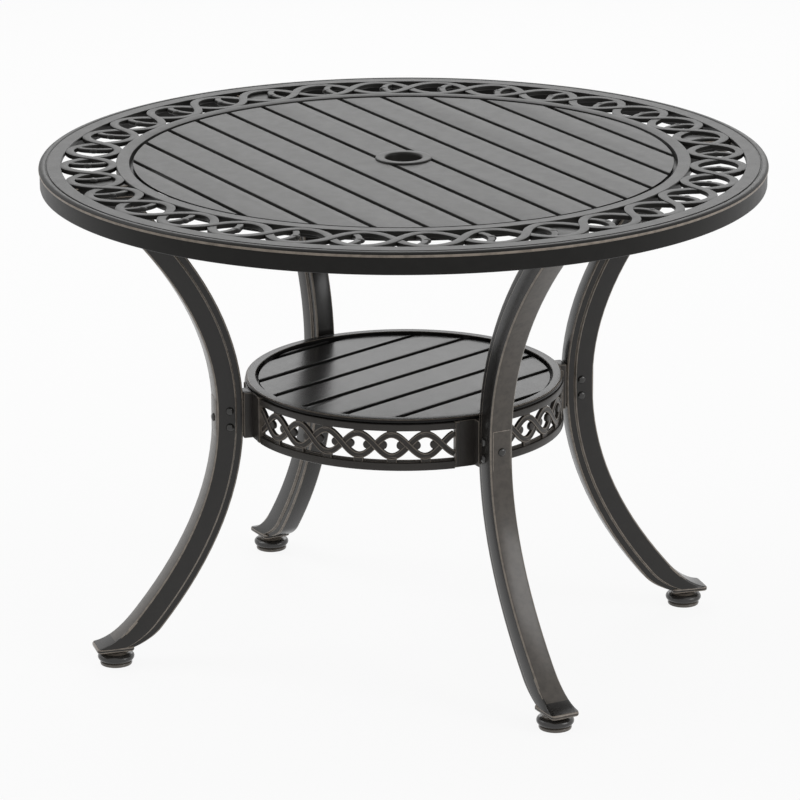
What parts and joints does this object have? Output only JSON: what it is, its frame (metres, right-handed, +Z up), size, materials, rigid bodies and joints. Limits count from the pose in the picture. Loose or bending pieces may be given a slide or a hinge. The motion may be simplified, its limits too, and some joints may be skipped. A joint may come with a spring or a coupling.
{
  "type": "umbrella table",
  "caption": "Round cast-metal patio table with slatted top, pierced interlaced border, umbrella hole, curved flared legs, levelling feet and a round lower shelf.",
  "frame": {"origin": "on the floor under the centre of the round top", "axes": "+Z up through the umbrella hole; +X midway between the two legs of the right-hand narrow gap; the picture looks from azimuth 22.5 degrees left of +Y"},
  "size_m": [1.0668, 1.0668, 0.7415],
  "materials": {
    "textured_paint": "fine textured powder coat, warm dark grey",
    "satin_paint": "satin dark bronze powder coat with lighter rubbed edges",
    "dark_paint": "satin dark bronze powder coat",
    "bolt_paint": "painted dome-headed fastener",
    "foot_plastic": "dark moulded foot with a soft sheen"
  },
  "bodies": {
    "table": {"top_frame": "textured_paint", "umbrella_flange": "dark_paint", "top_slat_01": "textured_paint", "top_slat_02": "textured_paint", "top_slat_03": "textured_paint", "top_slat_04": "textured_paint", "top_slat_05": "textured_paint", "top_slat_06": "textured_paint", "top_slat_07": "textured_paint", "top_slat_08": "textured_paint", "top_slat_09": "textured_paint", "top_slat_10": "textured_paint", "top_slat_11": "textured_paint", "top_slat_12": "textured_paint", "top_slat_13": "textured_paint", "top_batten_1": "dark_paint", "top_batten_2": "dark_paint", "shelf_ring": "satin_paint", "shelf_slat_1": "satin_paint", "shelf_slat_2": "satin_paint", "shelf_slat_3": "satin_paint", "shelf_slat_4": "satin_paint", "shelf_slat_5": "satin_paint", "shelf_slat_6": "satin_paint", "shelf_slat_7": "satin_paint", "shelf_slat_8": "satin_paint", "shelf_batten_1": "dark_paint", "shelf_batten_2": "dark_paint", "apron_right": "dark_paint", "apron_back": "dark_paint", "apron_left": "dark_paint", "apron_front": "dark_paint", "leg_front_right": "satin_paint", "bracket_front_right": "dark_paint", "side_bolt_lower_front_right": "bolt_paint", "side_bolt_upper_front_right": "bolt_paint", "radial_bolt_front_right": "bolt_paint", "top_bolt_front_right": "bolt_paint", "leg_back_right": "satin_paint", "bracket_back_right": "dark_paint", "side_bolt_lower_back_right": "bolt_paint", "side_bolt_upper_back_right": "bolt_paint", "radial_bolt_back_right": "bolt_paint", "top_bolt_back_right": "bolt_paint", "leg_back_left": "satin_paint", "bracket_back_left": "dark_paint", "side_bolt_lower_back_left": "bolt_paint", "side_bolt_upper_back_left": "bolt_paint", "radial_bolt_back_left": "bolt_paint", "top_bolt_back_left": "bolt_paint", "leg_front_left": "satin_paint", "bracket_front_left": "dark_paint", "side_bolt_lower_front_left": "bolt_paint", "side_bolt_upper_front_left": "bolt_paint", "radial_bolt_front_left": "bolt_paint", "top_bolt_front_left": "bolt_paint"},
    "foot_front_right": {"levelling_foot_front_right": "foot_plastic"},
    "foot_back_right": {"levelling_foot_back_right": "foot_plastic"},
    "foot_back_left": {"levelling_foot_back_left": "foot_plastic"},
    "foot_front_left": {"levelling_foot_front_left": "foot_plastic"}
  },
  "joints": [
    {"name": "foot_screw_front_right", "type": "slide", "parent": "table", "child": "foot_front_right", "axis": [0, 0, -1], "range_m": [0, 0.008]},
    {"name": "foot_screw_back_right", "type": "slide", "parent": "table", "child": "foot_back_right", "axis": [0, 0, -1], "range_m": [0, 0.008]},
    {"name": "foot_screw_back_left", "type": "slide", "parent": "table", "child": "foot_back_left", "axis": [0, 0, -1], "range_m": [0, 0.008]},
    {"name": "foot_screw_front_left", "type": "slide", "parent": "table", "child": "foot_front_left", "axis": [0, 0, -1], "range_m": [0, 0.008]}
  ]
}
